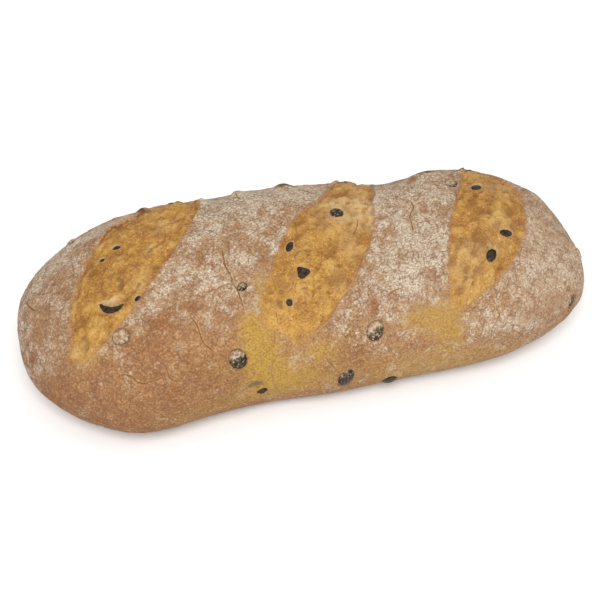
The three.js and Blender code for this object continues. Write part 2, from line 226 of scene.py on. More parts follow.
# Grey-brown spots where an olive lies just under the surface.
BRUISES = (
    (-78, -6, 2.8, 2, 0.8), (-104, -8, 2, 2, 0.5), (20, 10, 2.2, 3, 0.45), (12, 23, 2, 6, 0.4),
    (3, 40, 4, 3, 0.4), (10, -3, 3, 2, 0.4), (-36, 82, 6, 2.6, 0.9), (92, 25, 3, 2.6, 0.7),
    (81, 17, 2, 2, 0.5), (84, -26, 3, 6, 0.4),
)
# Paler crumb.
PALES = (
    (-100, 17.2, 4.5, 1.2, 1.6), (-70, -20, 8, 4, 0.5), (-86, 12, 5, 8, 0.4), (-120, 36, 5, 4, 0.5),
    (30, -44, 14, 8, 0.4), (22, -20, 12, 7, 1), (36, -12, 6, 10, 0.5), (36, -16, 5, 16, 0.8),
    (22, 14, 6, 8, 0.5), (24, -6, 14, 9, 0.8), (14, 34, 6, 6, 0.3), (92, -34, 9, 6, 0.7),
    (112, -24, 8, 10, 0.4), (104, 6, 7, 6, 0.6), (90, 22, 14, 6, 0.5), (78, 36, 10, 12, 0.5),
)
# Blisters and torn flaps: (x, girth, reach, height).
LUMPS = (
    (-78, -47, 4, 2), (-62, -43, 5, 1.2), (-48, -40, 3.6, 2), (-28, -43, 4, 2.4), (-2, -48, 5, 2),
    (32, -46, 6, 1.8), (76, -43, 9, 2.2), (64, -37, 8, 1), (85, -34, 4, 0.9), (100, -41, 5, 2.2),
    (145, 14, 3.4, 1.8), (-117, -39, 3.5, 1.4), (-94, -3, 3.2, 0.6), (-116, 13, 3, 0.6),
    (-101, 7, 6.5, 0.6), (83, 22, 11, 1.1), (-82, -20, 12, 0.8), (12, 8, 12, 0.7),
    (-141, -4, 4, 0.9), (62, -30, 12, 1), (-60, -84, 6, 1.2), (40, -86, 7, 1.3), (110, -70, 6, 1.2),
)
# Broad swellings and hollows: (x, girth, reach along x, reach over the girth, height).
SWELLS = (
    (-80, -48, 8, 12, -0.8), (-38, -46, 10, 14, -2.4), (-14, -48, 6, 10, -0.8),
    (30, -50, 8, 10, 0.8), (55, -46, 14, 14, -2.8), (122, -26, 8, 12, -0.8), (132, -22, 5, 8, 1.4),
    (145, -10, 7, 17, -2.8), (147, 36, 10, 22, 1.6), (-24, 98, 18, 14, -2), (-92, -40, 12, 12, 0.6),
)

# ---- Camera and light ----

CAMERA_AZIMUTH = -11.0
CAMERA_ELEVATION = 50.0
CAMERA_DISTANCE = 700.0
CAMERA_TARGET = (-3.6, -6.2, 32.0)
CAMERA_LENS = 79.2
SENSOR_WIDTH = 36.0
# Lights in metres and watts: (name, place, diameter, power).
LIGHTS = (
    ("key", (-0.15, -0.70, 1.20), 0.7, 13),
    ("fill", (0.9, -0.3, 1.1), 1.0, 2),
)
LIGHT_TARGET = (0, 0, 0.03)
SURROUND_STRENGTH = 0.74
FLOOR_REACH = 3000.0
FLOOR_TONE = 0.90
# How much brighter than its own colour the light shows a surface of the crown.
STUDIO_GAIN = 1.2


# ---- Colours ----

def colour(red, green, blue):
    """The linear colour of a surface that the studio light shows as this screen colour."""
    def linear(value):
        part = value / 255
        return part / 12.92 if part <= 0.04045 else ((part + 0.055) / 1.055) ** 2.4
    return (*(linear(value) / STUDIO_GAIN for value in (red, green, blue)), 1.0)


def grey(value):
    return (value, value, value, 1)


CRUST_LIGHT = colour(188, 145, 98)
CRUST_TOASTED = colour(152, 102, 62)
CRUST_GRAIN_LIGHT = colour(214, 176, 132)
CRUST_GRAIN_DARK = colour(116, 78, 48)
CRUST_PORE = colour(120, 88, 64)
CRUST_CREASE = colour(124, 88, 62)
# Darker near the board: partly the baked sole's brown, partly painted shade.
SOLE_BROWN_AND_SHADE = colour(140, 96, 58)
GOLD_DARK = colour(165, 125, 50)
GOLD_LIGHT = colour(195, 157, 79)
FLOUR_FILM = colour(166, 134, 108)
FLOUR_DARK = colour(182, 162, 138)
FLOUR_LIGHT = colour(228, 213, 188)

CRUMB_LIGHT = colour(194, 146, 66)
CRUMB_DARK = colour(160, 106, 42)
CRUMB_GRAIN_LIGHT = colour(220, 170, 90)
CRUMB_GRAIN_DARK = colour(118, 74, 30)
CRUMB_PALE = colour(208, 176, 126)
CRUMB_DOT = colour(122, 78, 38)
CRUMB_SPECK = colour(236, 204, 146)
# The rims of the slashes: browned crust and painted shade along them.
SLASH_RIM_AND_SHADE = colour(168, 116, 76)
# Painted shade for the hollows of the relief and painted light for its ridges.
VALLEY_PAINTED_SHADE = colour(130, 82, 36)
RIDGE_PAINTED_LIGHT = colour(222, 182, 106)

STAIN = colour(124, 80, 40)
BRUISE = colour(112, 90, 66)
# Dark flap edges: partly burnt crust, partly painted shade under the flaps.
BURNT_AND_PAINTED_SHADE = colour(66, 48, 32)
CRAZING = colour(124, 80, 44)
CRACK_LIP = colour(206, 164, 112)
# The line of a crack: its own brown and the painted shade in it.
CRACK_BROWN_AND_SHADE = colour(112, 68, 34)
OLIVE_HALO_CRUST = colour(150, 114, 80)
OLIVE_HALO_CRUMB = colour(196, 176, 142)

OLIVE_DARK = colour(32, 23, 12)
OLIVE_LIGHT = colour(68, 53, 36)
OLIVE_POWDER_DARK = colour(128, 100, 72)
OLIVE_POWDER_LIGHT = colour(206, 187, 158)
OLIVE_CRUSTED_DARK = colour(150, 112, 80)
OLIVE_CRUSTED_LIGHT = colour(194, 168, 136)
# Bright specks on the floured olives: flour and painted glints.
OLIVE_FLOUR_SPECK_AND_GLINT = colour(200, 183, 154)

# ---- Shine, and the depth of the fine grain in millimetres ----

CRUST_ROUGHNESS = 0.9
CRUMB_ROUGHNESS = 0.6
OLIVE_ROUGHNESS = 0.42
FLOOR_ROUGHNESS = 0.9
BREAD_SPECULAR = 0.3
OLIVE_SPECULAR = 0.2
PEBBLE_RELIEF = 0.3
GRAIN_RELIEF = 0.35
SKIN_RELIEF = 0.25


# ---- Noise ----

NOISE_GAIN = 1.7


def hash_lattice(cell, seed):
    """A random 32-bit number for each whole-numbered cell."""
    x, y, z = (cell[:, axis].astype(np.int64).astype(np.uint32) for axis in range(3))
    mixed = x * np.uint32(0x9E3779B1) ^ y * np.uint32(0x85EBCA77) ^ z * np.uint32(0xC2B2AE3D)
    mixed = mixed + np.uint32(seed * 7919 + 17)
    for shift, factor in ((15, 0x2C1B3C6D), (12, 0x297A2D39), (15, 0x9E3779B1)):
        mixed = (mixed ^ (mixed >> np.uint32(shift))) * np.uint32(factor)
    return mixed ^ (mixed >> np.uint32(14))


def unit_numbers(bits):
    """Three numbers from 0 to 1 out of each hash."""
    low = np.uint32(1023)
    parts = [(bits >> np.uint32(shift)) & low for shift in (0, 10, 20)]
    return np.stack(parts, axis=1) / 1023.0


def noise(points, size, seed):
    """Gradient noise, about -1 to 1, with features of the given size."""
    scaled = points / size
    cell = np.floor(scaled)
    inside = scaled - cell
    fade = inside * inside * inside * (inside * (inside * 6 - 15) + 10)
    total = np.zeros(len(points))
    for corner in np.ndindex(2, 2, 2):
        offset = np.array(corner)
        gradient = unit_numbers(hash_lattice(cell + offset, seed)) * 2 - 1
        weight = np.prod(np.where(offset == 1, fade, 1 - fade), axis=1)
        total += weight * np.sum(gradient * (inside - offset), axis=1)
    return total * NOISE_GAIN


def fractal(points, size, octaves, seed):
    """Several octaves of noise, each half as big and half as strong, about -1 to 1."""
    total = np.zeros(len(points))
    reach = 0.0
    for octave in range(octaves):
        weight = 0.5 ** octave
        total += weight * noise(points, size / 2 ** octave, seed + octave)
        reach += weight
    return total / reach ** 0.7


def cell_distance(points, size, seed):
    """Distance to the nearest of the scattered seeds, in sizes."""
    scaled = points / size
    cell = np.floor(scaled)
    nearest = np.full(len(points), 9.0)
    for step in np.ndindex(3, 3, 3):
        neighbour = cell + np.array(step) - 1
        seed_point = neighbour + unit_numbers(hash_lattice(neighbour, seed))
        nearest = np.minimum(nearest, np.linalg.norm(scaled - seed_point, axis=1))
    return nearest


def smooth_step(low, high, value):
    part = np.clip((value - low) / (high - low), 0, 1)
    return part * part * (3 - 2 * part)


def bell(value, width):
    return np.exp(-(value / width) ** 2)


def signed_power(value, power):
    return np.sign(value) * np.abs(value) ** power


# ---- The form of the bread ----

def spline(values, part):
    """Uniform Catmull-Rom through the rows of values, at parts from 0 to 1."""
    rows = np.vstack([2 * values[0] - values[1], values, 2 * values[-1] - values[-2]])
    scaled = np.clip(part, 0, 1) * (len(values) - 1)
    index = np.minimum(scaled.astype(int), len(values) - 2)
    t = (scaled - index)[:, None]
    before, start, end, after = (rows[index + step] for step in range(4))
    start_slope = (end - before) / 2
    end_slope = (after - start) / 2
    return (
        (2 * start - 2 * end + start_slope + end_slope) * t ** 3
        + (3 * end - 3 * start - 2 * start_slope - end_slope) * t ** 2
        + start_slope * t
        + start
    )


def station_values(x):
    """Middle, half width, height and end power of the sections at x."""
    along = x / HALF_LENGTH
    middle, half_width, height = spline(STATIONS, (along + 1) / 2).T
    return middle, half_width, height, np.where(along < 0, *END_POWER)


def taper_at(x, power, limit=1):
    """How much of its full size a section has at x, from 0 at the tips to 1."""
    return (1 - np.clip(np.abs(x / HALF_LENGTH), 0, limit) ** power) ** (1 / power)


def section_reach(rise, height):
    """How far a section reaches from its widest point, above it or below it."""
    return np.where(rise > 0, height - WIDEST_HEIGHT, WIDEST_HEIGHT * SETTLE)


def form_value(points):
    """1 on the crust, less inside and more outside, in proportion to the distance."""
    middle, half_width, height, power = station_values(points[:, 0])
    rise = points[:, 2] - WIDEST_HEIGHT
    across = np.abs((points[:, 1] - middle) / half_width) ** SECTION_POWER
    up = np.abs(rise / section_reach(rise, height)) ** SECTION_POWER
    along = np.abs(points[:, 0] / HALF_LENGTH) ** power
    return ((across + up) ** (power / SECTION_POWER) + along) ** (1 / power)


def press_onto_form(points):
    """Moves points near the crust onto it, and those at the sole onto the board."""
    for _ in range(PRESS_ROUNDS):
        value = form_value(points) - 1
        slope = np.empty_like(points)
        for axis in range(3):
            step = np.zeros(3)
            step[axis] = SLOPE_STEP
            rise = form_value(points + step) - form_value(points - step)
            slope[:, axis] = rise / (2 * SLOPE_STEP)
        on_sole = (points[:, 2] < 0.5) & (value < 0)
        move = value / np.sum(slope * slope, axis=1)
        move[on_sole] = 0
        points = points - slope * np.clip(move, -400, 400)[:, None]
        points[:, 2] = np.where(on_sole | (points[:, 2] < 0), 0, points[:, 2])
    return points


def form_points(x, angle):
    """Points of the sections at x: angle 0 is the widest point at the back, 90 the top."""
    middle, half_width, height, power = station_values(x)
    taper = taper_at(x, power)
    across = signed_power(np.cos(angle), 2 / SECTION_POWER)
    up = signed_power(np.sin(angle), 2 / SECTION_POWER)
    y = middle + half_width * taper * across
    z = WIDEST_HEIGHT + section_reach(up, height) * taper * up
    return np.stack([x, y, np.maximum(z, 0)], axis=-1)


def section_angle(points):
    """The angle round its section of each point near the crust, as form_points counts it."""
    middle, half_width, height, power = station_values(points[:, 0])
    taper = taper_at(points[:, 0], power, NEAR_TIP)
    rise = points[:, 2] - WIDEST_HEIGHT
    across = (points[:, 1] - middle) / (half_width * taper)
    up = rise / (section_reach(rise, height) * taper)
    sine = signed_power(up, SECTION_POWER / 2)
    cosine = signed_power(across, SECTION_POWER / 2)
    angle = np.arctan2(sine, cosine)
    return np.where(angle < -math.pi / 2, angle + 2 * math.pi, angle)


def girth_table(rows, angles):
    """The girth at each row along the loaf and each angle round it."""
    grid_x, grid_angle = np.meshgrid(rows, angles, indexing="ij")
    grid = form_points(grid_x.ravel(), grid_angle.ravel()).reshape(len(rows), len(angles), 3)
    lengths = np.linalg.norm(np.diff(grid, axis=1), axis=2)
    girths = np.concatenate([np.zeros((len(rows), 1)), np.cumsum(lengths, axis=1)], axis=1)
    return girths - girths[:, [len(angles) // 2]]


def girth_of(points):
    """How far over the crust each point lies from the top of its section."""
    rows = np.linspace(-HALF_LENGTH * NEAR_TIP, HALF_LENGTH * NEAR_TIP, GIRTH_ROWS)
    angles = np.linspace(-math.pi / 2, 3 * math.pi / 2, GIRTH_ANGLES)
    girths = girth_table(rows, angles)
    row = (np.clip(points[:, 0], rows[0], rows[-1]) - rows[0]) / (rows[1] - rows[0])
    column = (section_angle(points) - angles[0]) / (angles[1] - angles[0])
    row_index = np.minimum(row.astype(int), len(rows) - 2)
    column_index = np.minimum(column.astype(int), len(angles) - 2)
    row_part = row - row_index
    column_part = column - column_index
    near, far = (
        girths[index, column_index] * (1 - column_part)
        + girths[index, column_index + 1] * column_part
        for index in (row_index, row_index + 1)
    )
    return near * (1 - row_part) + far * row_part


def mesh_object(name, vertices, faces):
    mesh = bpy.data.meshes.new(name)
    mesh.from_pydata((vertices * MM).tolist(), [], faces)
    mesh.update()
    thing = bpy.data.objects.new(name, mesh)
    bpy.context.scene.collection.objects.link(thing)
    return thing


def vertex_triples(source, attribute, count):
    values = np.empty(count * 3, np.float32)
    source.foreach_get(attribute, values)
    return values.reshape(-1, 3).astype(float)


def vertex_points(mesh):
    """Vertex positions of a mesh, in millimetres."""
    return vertex_triples(mesh.vertices, "co", len(mesh.vertices)) / MM


def vertex_normals(mesh):
    return vertex_triples(mesh.vertex_normals, "vector", len(mesh.vertices))


def move_vertices(mesh, points):
    """Puts the vertices of a mesh at points in millimetres."""
    mesh.vertices.foreach_set("co", (points * MM).astype(np.float32).ravel())
    mesh.update()


def apply_modifiers(thing):
    """Gives an object the mesh that its modifiers make, and removes them."""
    evaluated = thing.evaluated_get(bpy.context.evaluated_depsgraph_get())
    thing.data = bpy.data.meshes.new_from_object(evaluated)
    thing.modifiers.clear()


def make_even(thing, spacing):
    """Replaces an object's mesh by an even mesh of small squares."""
    remesh = thing.modifiers.new("even", "REMESH")
    remesh.mode = "VOXEL"
    remesh.voxel_size = spacing * MM
    apply_modifiers(thing)


def bread_blank():
    """The plain form of the bread as an even mesh, on the board, and its points."""
    rows = 64
    columns = 64
    angles = np.linspace(0, 2 * math.pi, columns, endpoint=False)
    x = -HALF_LENGTH * np.cos(np.pi * np.arange(1, rows) / rows)
    grid_x, grid_angle = np.meshgrid(x, angles, indexing="ij")
    ends = form_points(np.array([-HALF_LENGTH, HALF_LENGTH]), np.zeros(2))
    vertices = np.vstack([form_points(grid_x.ravel(), grid_angle.ravel()), ends])
    faces = []
    for column in range(columns):
        beside = (column + 1) % columns
        for row in range(rows - 2):
            here = row * columns
            beyond = here + columns
            faces.append((here + column, here + beside, beyond + beside, beyond + column))
        last = (rows - 2) * columns
        faces.append((len(vertices) - 2, beside, column))
        faces.append((len(vertices) - 1, last + column, last + beside))
    bread = mesh_object("bread", vertices, faces)
    make_even(bread, CRUST_SPACING)
    points = press_onto_form(vertex_points(bread.data))
    move_vertices(bread.data, points)
    return bread, points


# ---- Distances on the crust ----

def spline_places(places, steps):
    return spline(np.array(places, float), np.linspace(0, 1, steps))


def line_distance(places, line):
    """Distance to a line of places, the side of it, and how far along it, from 0 to 1."""
    nearest = np.full(len(places), 1e9)
    side = np.ones(len(places))
    along = np.zeros(len(places))
    lengths = np.linalg.norm(np.diff(line, axis=0), axis=1)
    starts = np.concatenate([[0], np.cumsum(lengths)])
    for index, length in enumerate(lengths):
        start = line[index]
        direction = (line[index + 1] - start) / length
        offset = places - start
        reach = np.clip(offset @ direction, 0, length)
        distance = np.linalg.norm(offset - reach[:, None] * direction, axis=1)
        closer = distance < nearest
        nearest = np.where(closer, distance, nearest)
        turn = direction[0] * offset[:, 1] - direction[1] * offset[:, 0]
        side = np.where(closer, np.where(turn < 0, -1, 1), side)
        along = np.where(closer, (starts[index] + reach) / starts[-1], along)
    return nearest, side, along


def inside_outline(places, outline):
    """Whether each place lies inside a closed outline."""
    inside = np.zeros(len(places), bool)
    for start, end in zip(outline, np.roll(outline, -1, axis=0)):
        spans = (start[1] > places[:, 1]) != (end[1] > places[:, 1])
        rise = end[1] - start[1]
        crossing = start[0] + (places[:, 1] - start[1]) * (end[0] - start[0]) / (rise or 1)
        inside ^= spans & (places[:, 0] < crossing)
    return inside


def near_line(places, line, reach):
    """Whether each place lies in the box round a line, widened by reach."""
    low = line.min(0) - reach
    high = line.max(0) + reach
    return np.all((places > low) & (places < high), axis=1)


def slash_distances(places):
    """For each slash: distance inside its outline, negative outside, and to its left edge."""
    results = []
    for left, right in SLASHES:
        left_line = spline_places(left, SLASH_STEPS)
        right_line = spline_places(right, SLASH_STEPS)
        outline = np.vstack([left_line, right_line[::-1]])
        closed = np.vstack([outline, outline[:1]])
        near = near_line(places, outline, SLASH_REACH)
        distance = np.full(len(places), -SLASH_REACH)
        from_left = np.full(len(places), SLASH_REACH)
        edge = line_distance(places[near], closed)[0]
        distance[near] = np.where(inside_outline(places[near], outline), edge, -edge)
        from_left[near] = line_distance(places[near], left_line)[0]
        results.append((np.maximum(distance, -SLASH_REACH), from_left))
    return results


def crack_distances(places):
    """Signed distance to the nearest crack, how dark it is and how deep."""
    signed = np.full(len(places), CRACK_REACH)
    dark = np.zeros(len(places))
    depth = np.zeros(len(places))
    for crack_dark, crack_depth, stops in CRACKS:
        line = spline_places(stops, 4 * len(stops))
        near = np.flatnonzero(near_line(places, line, CRACK_REACH))
        distance, side, along = line_distance(places[near], line)
        closer = distance < np.abs(signed[near])
        chosen = near[closer]
        fade = 0.3 + 0.7 * smooth_step(0, 0.2, np.minimum(along, 1 - along)[closer])
        signed[chosen] = (distance * side)[closer]
        dark[chosen] = crack_dark * fade
        depth[chosen] = crack_depth * fade
    return signed, dark, depth


def soft_patches(places, patches):
    """The sum of the amounts of soft-edged patches at each place."""
    total = np.zeros(len(places))
    for x, girth, along, over, amount in patches:
        offset = (places - (x, girth)) / (along, over)
        total += amount * np.exp(-np.sum(offset * offset, axis=1))
    return total


def hull_distance(points, mesh):
    """Distance to the convex hull of a mesh, in millimetres and negative inside it."""
    hull = bmesh.new()
    hull.from_mesh(mesh)
    middle = np.mean([vertex.co for vertex in hull.verts], axis=0)
    made = bmesh.ops.convex_hull(hull, input=hull.verts)["geom"]
    distance = np.full(len(points), -1e9)
    for face in (item for item in made if isinstance(item, bmesh.types.BMFace)):
        if face.calc_area() <= SLIVER:
            continue
        normal = np.array(face.normal)
        centre = np.array(face.calc_center_median())
        outward = np.sign((centre - middle) @ normal)
        distance = np.maximum(distance, (points - centre / MM) @ (normal * outward))
    hull.free()
    return distance


# ---- The bread ----

SLIVER = 1e-3 * MM ** 2  # a hull face of less area than this has no steady direction
# Crust farther than the first from an olive's middle counts as the second away from it.
OLIVE_NEAR = 16.0
OLIVE_FAR = 9.0
PIT_DEPTH = 1.7
# How far the crust rises round an olive, in a slash and elsewhere.
PIT_RIM_IN_SLASH = 0.1
PIT_RIM = 0.6
# The way the folds of the crumb run. Squeezing the places along it draws the folds out.
FOLD_ALONG = (0.57, 0.82)
FOLD_SQUEEZE = (0.4, 1.0, 0.7)
OLIVE_NODES = sorted(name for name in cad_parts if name.startswith("olive_"))
# The side of an olive that the flour reached, and how much of each olive it covers.
FLOUR_SIDE = np.array([-0.4, 0.7, 0.5])
UNFLOURED = -1.0
FLOURED_OLIVES = {
    "olive_left_floured_lump": 1.2,
    "olive_front_round_piece": 0.82,
    "olive_front_large_piece": 0.84,
    "olive_right_rim_lump": 0.75,
    "olive_right_end_piece": 0.60,
    "olive_crack_piece": 0.60,
    "olive_front_dark_piece": 0.45,
    "olive_middle_slash_top_piece": 0.20,
}


def crumb_relief(points):
    """Folds, blisters and pits of the opened crumb."""
    x, y, z = points.T
    cosine, sine = FOLD_ALONG
    drawn_out = np.stack([cosine * x + sine * y, cosine * y - sine * x, z], axis=1) * FOLD_SQUEEZE
    folds = 0.3 - np.abs(fractal(drawn_out, 6.5, 3, seed=41))
    blisters = smooth_step(0.6, 0.1, cell_distance(points, 8.5, seed=51))
    pits = smooth_step(0.22, 0.08, cell_distance(points, 6.5, seed=52))
    grain = fractal(points, 3.0, 2, seed=44)
    return 2.0 * folds + 0.8 * blisters + 0.5 * grain - 0.9 * pits - 0.4


def bread_relief(points, places, slashes, cracks, olives, soft):
    """Height of the finished surface over the plain form and its fine part, in millimetres."""
    upper = smooth_step(4, 22, points[:, 2])
    sole = 1 - smooth_step(0.0, 2.5, points[:, 2])
    slash = np.max([distance for distance, _ in slashes], axis=0)
    ragged = slash + 0.9 * fractal(points, 9, 3, seed=21)
    in_slash = smooth_step(-0.9, 0.9, ragged)

    wrinkles = 0.34 * fractal(points, 7.5, 2, seed=7) * upper
    wrinkles += 0.15 * fractal(points, 2.6, 2, seed=10)
    nearest_olive = np.min([distance for distance, _ in olives], axis=0)
    calm = 1 - 0.85 * bell(np.clip(nearest_olive, 0, None), 1.8)
    fine = wrinkles + in_slash * crumb_relief(points) * calm
    height = fine + 0.8 * fractal(points, 70, 2, seed=1)
    height += 0.45 * fractal(points, 22, 2, seed=4) * upper
    height += soft_patches(places, SWELLS)
    drift = np.stack([noise(points, 5, seed=31), noise(points, 5, seed=32)], axis=1)
    for x, girth, reach, tall in LUMPS:
        away = np.linalg.norm(places + drift - (x, girth), axis=1) / reach
        height += tall * np.exp(-away ** 3)

    torn = (0.2 + 0.8 * smooth_step(36, -4, places[:, 1])) * smooth_step(4.0, 0.0, soft)
    edge = np.exp(-np.clip(ragged, 0, None) / 2.5) * torn
    height += in_slash * (0.7 * smooth_step(0, 14, ragged) - 0.9 * torn - 0.5 * edge)
    for distance, from_left in slashes:
        outside = bell(distance + 1.4, 1.5) * (1 - in_slash) * torn
        height += outside * (0.25 + 0.45 * bell(from_left, 5.0))

    signed, _, depth = cracks
    wobble = signed + 0.35 * noise(points, 2.2, seed=61)
    height -= depth * bell(wobble, 0.7)
    height += 0.25 * depth * bell(np.abs(wobble) - 1.5, 0.9)
    height += 0.5 * depth * bell(wobble, 2.6) * np.tanh(wobble / 0.6)

    for distance, proud in olives:
        height += proud * bell(np.clip(distance, 0, None), 2.0)
        inside = smooth_step(0.25, -0.30, distance)
        height += inside * (np.minimum(height, -PIT_DEPTH) - height)
    return height * (1 - sole), fine


def olive_surroundings(points, normals):
    """For each olive piece: distance outside it over the crust, and how proud the rim is."""
    results = []
    for name in OLIVE_NODES:
        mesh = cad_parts[name].data
        from_middle = np.linalg.norm(points - vertex_points(mesh).mean(0), axis=1)
        near = from_middle < OLIVE_NEAR
        halfway = points[near] - 0.5 * np.min(from_middle) * normals[near]
        distance = np.full(len(points), OLIVE_FAR)
        distance[near] = hull_distance(halfway, mesh)
        results.append((distance, PIT_RIM_IN_SLASH if "slash" in name else PIT_RIM))
    return results


def add_attribute(mesh, name, values):
    layer = mesh.attributes.new(name, "FLOAT", "POINT")
    layer.data.foreach_set("value", values.astype(np.float32))


def flour_cover(points, places):
    """How thickly the flour lies, about 0 to 1: most on the crown, least low on the sides."""
    crown = smooth_step(66, 34, np.abs(places[:, 1] + 8))
    flour = 0.05 + 0.45 * crown + soft_patches(places, FLOUR_PATCHES)
    flour += 0.12 * fractal(points, 26, 2, seed=71) + 0.14 * fractal(points, 8, 3, seed=73)
    return flour - soft_patches(places, BARE_PATCHES) * 0.5


def give_material(mesh, material):
    """Smooth shading and one material all over a mesh."""
    mesh.shade_smooth()
    mesh.materials.clear()
    mesh.materials.append(material)


def make_bread():
    """The bread: the plain form with its relief, and what its material reads off the mesh."""
    bread, points = bread_blank()
    mesh = bread.data
    places = np.stack([points[:, 0], girth_of(points)], axis=1)
    normals = vertex_normals(mesh)
    slashes = slash_distances(places)
    cracks = crack_distances(places)
    olives = olive_surroundings(points, normals)
    soft = soft_patches(places, SOFT_EDGES)
    height, fine = bread_relief(points, places, slashes, cracks, olives, soft)
    final = points + normals * height[:, None]
    final[:, 2] = np.maximum(final[:, 2], 0)
    move_vertices(mesh, final)

    # The crust also darkens towards the left end.
    toast = 0.3 * fractal(points, 30, 3, seed=75) + 0.5 * smooth_step(-100, -145, points[:, 0])
    toast += soft_patches(places, BARE_PATCHES) * 0.9
    painted = {
        "slash": np.max([distance for distance, _ in slashes], axis=0),
        "fine": fine,
        "crack": cracks[0],
        "crack_dark": cracks[1],
        "flour": flour_cover(points, places),
        "haze": soft_patches(places, HAZE_PATCHES),
        "toast": toast,
        "soft": soft,
        "gold": soft_patches(places, GOLD_PATCHES),
        "stain": soft_patches(places, STAINS),
        "bruise": soft_patches(places, BRUISES),
        "pale": soft_patches(places, PALES),
        "olive": np.min([distance for distance, _ in olives], axis=0),
        # How near the board: the crust there is darkened, partly as baked sole and partly as painted
        # shade.
        "low": smooth_step(9, 0, points[:, 2]),
    }
    for name, values in painted.items():
        add_attribute(mesh, name, values)
    give_material(mesh, bread_material())
    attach(bread, "root")
    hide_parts("loaf")


# ---- Materials ----

class Graph:
    """A material's node tree, with short calls for the nodes used here."""

    def __init__(self, name):
        self.material = bpy.data.materials.new(name)
        self.material.use_nodes = True
        self.tree = self.material.node_tree
        self.surface = self.tree.nodes["Principled BSDF"]
        texture = self.node("ShaderNodeTexCoord", {})
        sockets = {0: texture.outputs["Object"], "Scale": 1 / MM}
        self.place = self.node("ShaderNodeVectorMath", sockets, operation="SCALE").outputs[0]

    def node(self, kind, sockets, **settings):
        """A new node with these settings, and with its sockets fed by name or number."""
        made = self.tree.nodes.new(kind)
        for key, value in settings.items():
            setattr(made, key, value)
        for key, value in sockets.items():
            self.feed(made.inputs[key], value)
        return made

    def feed(self, socket, value):
        """Links a socket to another node's output, or sets its own value."""
        if isinstance(value, bpy.types.NodeSocket):
            self.tree.links.new(value, socket)
        else:
            socket.default_value = value

    def finished(self, sockets):
        """The material, with its surface's sockets fed by name."""
        for key, value in sockets.items():
            self.feed(self.surface.inputs[key], value)
        return self.material

    def math(self, operation, *values, clamp=False):
        sockets = dict(enumerate(values))
        return self.node("ShaderNodeMath", sockets, operation=operation, use_clamp=clamp).outputs[0]

    def times(self, value, factor, clamp=False):
        return self.math("MULTIPLY", value, factor, clamp=clamp)

    def plus(self, value, other):
        return self.math("ADD", value, other)

    def attribute(self, name):
        return self.node("ShaderNodeAttribute", {}, attribute_name=name).outputs["Fac"]

    def noise(self, size, detail=2.0, roughness=0.5, stretch=None, distortion=0.0):
        """Soft noise from 0 to 1 with features of the given size in millimetres."""
        sockets = {
            "Vector": self.place if stretch is None else self.stretched(stretch),
            "Scale": 1 / size,
            "Detail": detail,
            "Roughness": roughness,
            "Distortion": distortion,
        }
        return self.node("ShaderNodeTexNoise", sockets).outputs["Fac"]

    def stretched(self, amounts):
        """Places drawn out along the slashes, across them and upwards."""
        turn = (0, 0, math.radians(SLASH_ANGLE))
        sockets = {"Vector": self.place, "Rotation": turn, "Scale": amounts}
        return self.node("ShaderNodeMapping", sockets, vector_type="TEXTURE").outputs[0]

    def cells(self, size, warp, feature="F1"):
        """Distance in sizes to the nearest cell's middle or edge, with the cells bent by noise."""
        bend = self.node("ShaderNodeTexNoise", {"Vector": self.place, "Scale": 1 / (1.5 * size)})
        sockets = {0: bend.outputs["Color"], 1: (warp * size,) * 3, 2: self.place}
        bent = self.node("ShaderNodeVectorMath", sockets, operation="MULTIPLY_ADD").outputs[0]
        sockets = {"Vector": bent, "Scale": 1 / size}
        return self.node("ShaderNodeTexVoronoi", sockets, feature=feature).outputs["Distance"]

    def spread(self, value, amount):
        """Stretches a value, so that 0 to 1 becomes an amount centred on 0."""
        return self.math("MULTIPLY_ADD", value, amount, -amount / 2)

    def step(self, low, high, value):
        """0 at low and 1 at high, smoothly."""
        sockets = {"Value": value, "From Min": low, "From Max": high}
        made = self.node("ShaderNodeMapRange", sockets, interpolation_type="SMOOTHSTEP")
        return made.outputs[0]

    def mix(self, part, first, second):
        sockets = {0: part, 6: first, 7: second}
        return self.node("ShaderNodeMix", sockets, data_type="RGBA").outputs[2]

    def tint(self, base, part, amount, shade, clamp=False):
        """Base, tinted with a shade where part is 1, as far as amount."""
        return self.mix(self.times(part, amount, clamp), base, shade)

    def bump(self, height, distance, normal=None):
        sockets = {"Height": height, "Distance": distance * MM}
        if normal is not None:
            sockets["Normal"] = normal
        return self.node("ShaderNodeBump", sockets).outputs[0]


